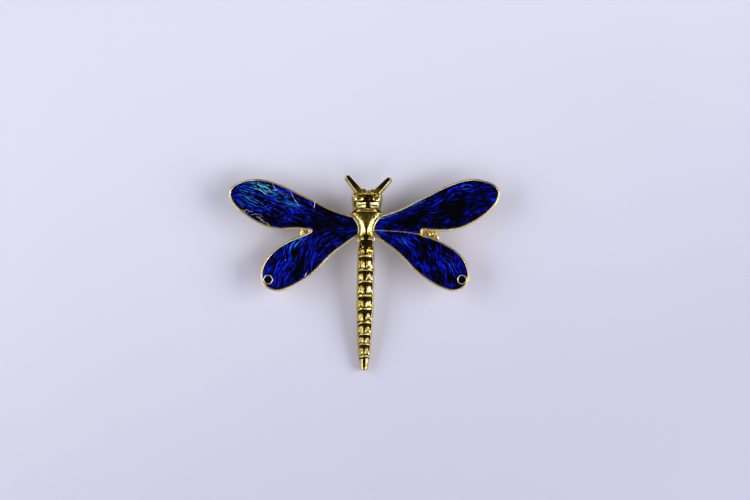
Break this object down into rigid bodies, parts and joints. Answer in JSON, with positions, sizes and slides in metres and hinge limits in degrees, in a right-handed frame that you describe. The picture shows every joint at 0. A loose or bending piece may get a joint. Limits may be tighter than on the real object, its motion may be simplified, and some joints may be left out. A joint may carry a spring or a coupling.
{
  "type": "dragonfly brooch",
  "caption": "Dragonfly brooch: a gilt casting with blue enamelled wings, a segmented abdomen and a bar pin across its back.",
  "frame": {"origin": "middle of the brooch's footprint, on the surface that it lies on face up", "axes": "+Z out of the face, +Y towards the head, +X to the right as the face is looked at, across the wings"},
  "size_m": [0.0544, 0.0386, 0.0068],
  "materials": {
    "gilt_metal": "polished gilt, darkened in the recesses",
    "blue_enamel": "glossy translucent enamel over engraved lines",
    "dark_enamel": "glossy",
    "pin_metal": "bright gilt, lightly brushed"
  },
  "bodies": {
    "root": {"gilt_casting": "gilt_metal", "left_wing_enamel": "blue_enamel", "right_forewing_enamel": "blue_enamel", "right_hindwing_enamel": "blue_enamel", "left_ring_enamel": "dark_enamel", "right_ring_enamel": "dark_enamel", "bar_pin": "pin_metal"}
  },
  "joints": []
}
